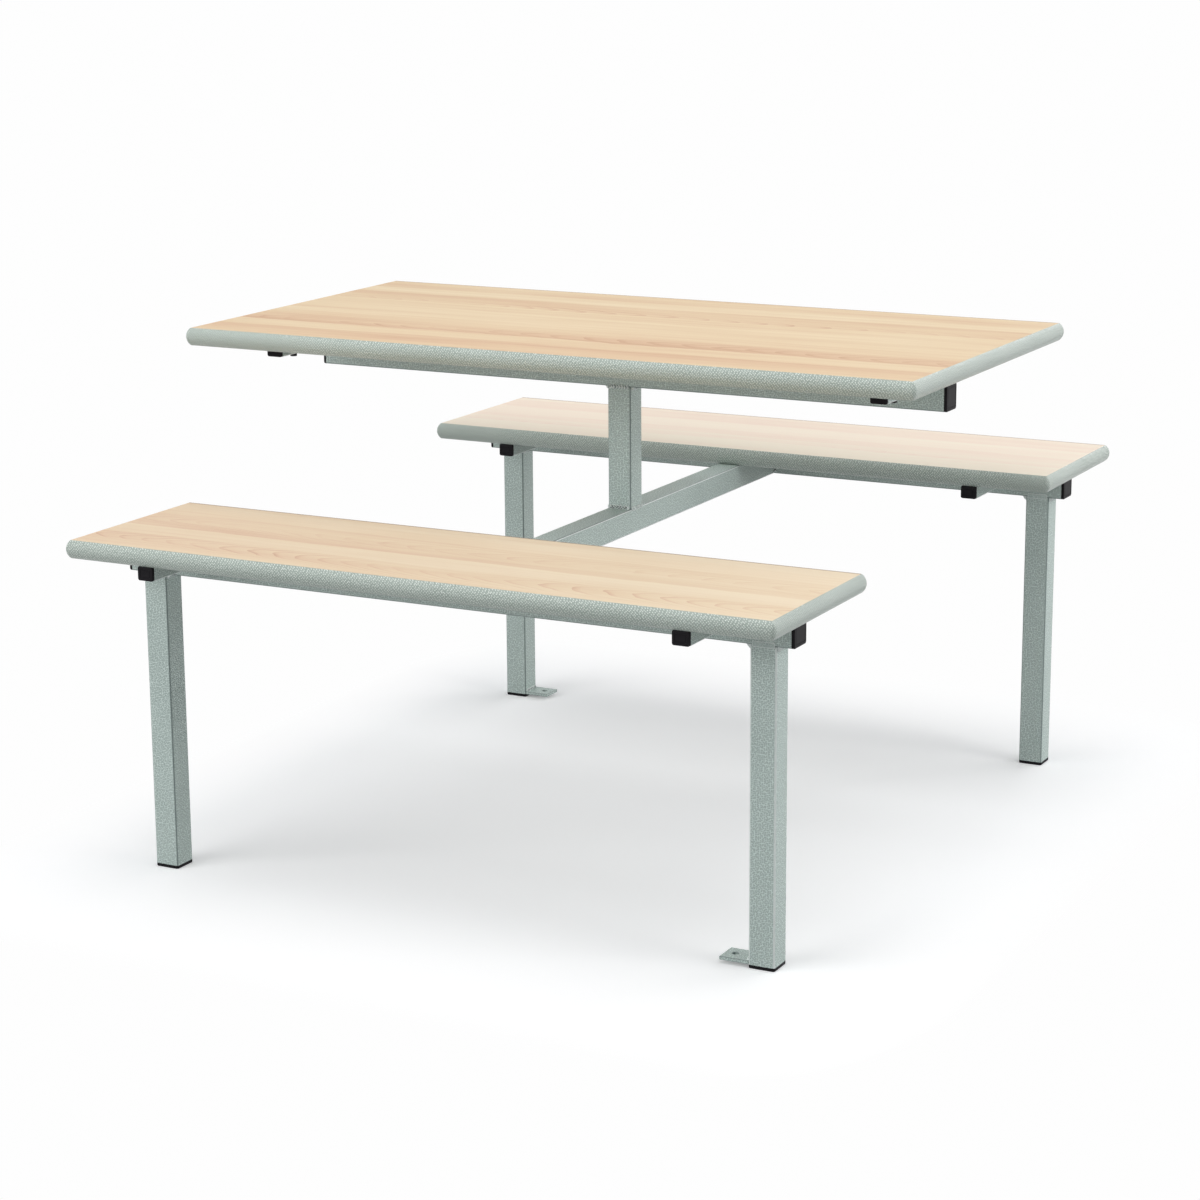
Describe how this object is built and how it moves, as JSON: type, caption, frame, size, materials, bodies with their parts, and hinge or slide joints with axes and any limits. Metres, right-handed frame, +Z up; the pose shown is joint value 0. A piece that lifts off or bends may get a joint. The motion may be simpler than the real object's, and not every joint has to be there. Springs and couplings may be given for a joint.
{
  "type": "canteen table with fixed benches",
  "caption": "Canteen table with a fixed bench along either side: laminate-faced boards with plastic edging, carried on one welded square-tube frame with floor-fixing tabs.",
  "frame": {"origin": "on the floor, under the middle of the table", "axes": "+X along the table to the right as seen from the front bench, +Y across it towards the back bench, +Z up"},
  "size_m": [1.158, 1.318, 0.75],
  "materials": {
    "beech_laminate": "high-pressure laminate with a pale beech woodgrain, satin",
    "core_board": "raw particleboard",
    "backing_sheet": "plain balancing laminate, matt",
    "grey_edging": "extruded T-section edging in grey-green, finely pebbled",
    "frame_coating": "silver-grey hammertone powder coat on steel",
    "plug_plastic": "black moulded polyethylene, satin",
    "foot_plastic": "black moulded polyethylene, scuffed",
    "bolt_steel": "black-finished steel",
    "zinc_steel": "bright zinc-plated steel"
  },
  "bodies": {
    "root": {"back_bench_arm_left_inner": "frame_coating", "back_bench_arm_left_outer": "frame_coating", "back_bench_arm_plugs": "plug_plastic", "back_bench_arm_right_inner": "frame_coating", "back_bench_arm_right_outer": "frame_coating", "back_bench_backing_sheet": "backing_sheet", "back_bench_core_board": "core_board", "back_bench_edging_back": "grey_edging", "back_bench_edging_front": "grey_edging", "back_bench_edging_left": "grey_edging", "back_bench_edging_right": "grey_edging", "back_bench_foot_left": "foot_plastic", "back_bench_foot_right": "foot_plastic", "back_bench_laminate": "beech_laminate", "back_bench_leg_left": "frame_coating", "back_bench_leg_right": "frame_coating", "back_bench_rail": "frame_coating", "back_bench_rail_plugs": "plug_plastic", "back_bench_screws": "zinc_steel", "back_bench_welds": "frame_coating", "back_left_floor_tab": "frame_coating", "centre_beam": "frame_coating", "centre_beam_welds": "frame_coating", "centre_post": "frame_coating", "front_bench_arm_left_inner": "frame_coating", "front_bench_arm_left_outer": "frame_coating", "front_bench_arm_plugs": "plug_plastic", "front_bench_arm_right_inner": "frame_coating", "front_bench_arm_right_outer": "frame_coating", "front_bench_backing_sheet": "backing_sheet", "front_bench_core_board": "core_board", "front_bench_edging_back": "grey_edging", "front_bench_edging_front": "grey_edging", "front_bench_edging_left": "grey_edging", "front_bench_edging_right": "grey_edging", "front_bench_foot_left": "foot_plastic", "front_bench_foot_right": "foot_plastic", "front_bench_laminate": "beech_laminate", "front_bench_leg_left": "frame_coating", "front_bench_leg_right": "frame_coating", "front_bench_rail": "frame_coating", "front_bench_rail_plugs": "plug_plastic", "front_bench_screws": "zinc_steel", "front_bench_welds": "frame_coating", "front_right_floor_tab": "frame_coating", "table_arm_left": "frame_coating", "table_arm_plugs": "plug_plastic", "table_arm_right": "frame_coating", "table_backing_sheet": "backing_sheet", "table_core_board": "core_board", "table_edging_back": "grey_edging", "table_edging_front": "grey_edging", "table_edging_left": "grey_edging", "table_edging_right": "grey_edging", "table_frame_welds": "frame_coating", "table_laminate": "beech_laminate", "table_rail": "frame_coating", "table_rail_plugs": "plug_plastic", "table_top_bolts": "bolt_steel", "table_top_insert_nuts": "zinc_steel"}
  },
  "joints": []
}
